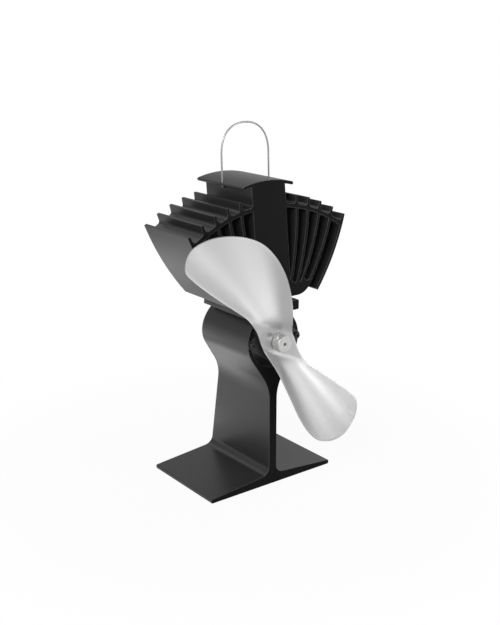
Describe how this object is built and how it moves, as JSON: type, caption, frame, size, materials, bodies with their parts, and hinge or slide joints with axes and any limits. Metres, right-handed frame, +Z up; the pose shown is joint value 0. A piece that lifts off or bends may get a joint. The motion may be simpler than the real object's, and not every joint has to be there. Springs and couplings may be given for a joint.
{
  "type": "stove fan",
  "caption": "Heat-powered stove fan: black aluminium stand and finned heat sink, two-bladed sheet fan on a small motor, wire carrying handle.",
  "frame": {"origin": "centre of the foot's underside, on the surface that the fan stands on", "axes": "+Z up; the fan and its hub face -Y; +X to the right seen from the front"},
  "size_m": [0.1702, 0.1051, 0.2868],
  "materials": {
    "anodised_black": "satin black anodised, with faint drawing lines",
    "handle_wire": "bright drawn wire",
    "blade_sheet": "satin silver sheet",
    "turned_steel": "fine turned",
    "screw_steel": "zinc plated",
    "plate_dark": "satin black",
    "motor_steel": "nickel plated",
    "black_plastic": "matte",
    "contact_brass": "bare",
    "bush_bronze": "sintered",
    "ferrite": "ground",
    "core_steel": "stacked sheet",
    "copper": "copper",
    "lead_red": "silicone insulation",
    "lead_black": "silicone insulation",
    "white_ceramic": "unglazed",
    "pellet_grey": "sawn",
    "seal_white": "matte",
    "bush_plastic": "matte"
  },
  "bodies": {
    "stand": {"base_stand": "anodised_black", "heat_sink": "anodised_black", "motor_plate": "plate_dark", "plate_screw_left": "screw_steel", "plate_screw_right": "screw_steel", "motor_screw_upper": "screw_steel", "motor_screw_lower": "screw_steel", "motor_can": "motor_steel", "motor_end_cap": "black_plastic", "motor_terminal_left": "contact_brass", "motor_terminal_right": "contact_brass", "front_bush": "bush_bronze", "rear_bush": "bush_bronze", "magnet_left": "ferrite", "magnet_right": "ferrite", "brush_left": "contact_brass", "brush_right": "contact_brass", "lead_red": "lead_red", "lead_black": "lead_black", "module_cold_plate": "white_ceramic", "module_hot_plate": "white_ceramic", "module_pellets": "pellet_grey", "module_seal": "seal_white", "clamp_screw_front": "screw_steel", "clamp_screw_rear": "screw_steel", "clamp_washer_front": "screw_steel", "clamp_washer_rear": "screw_steel", "clamp_bush_front": "bush_plastic", "clamp_bush_rear": "bush_plastic"},
    "fan": {"fan_blade": "blade_sheet", "blade_hub": "turned_steel", "hub_set_screw": "screw_steel", "blade_ring": "turned_steel", "motor_shaft": "turned_steel", "rotor_core": "core_steel", "rotor_coil_1": "copper", "rotor_coil_2": "copper", "rotor_coil_3": "copper", "commutator": "copper"},
    "handle": {"carry_handle": "handle_wire"}
  },
  "joints": [
    {"name": "fan_spin", "type": "hinge", "parent": "stand", "child": "fan", "pos_m": [0, 0, 0.122], "axis": [0, -1, 0], "continuous": true},
    {"name": "handle_rock", "type": "hinge", "parent": "stand", "child": "handle", "pos_m": [0, -0.0048, 0.2413], "axis": [1, 0, 0], "range_deg": [-12, 12]}
  ]
}
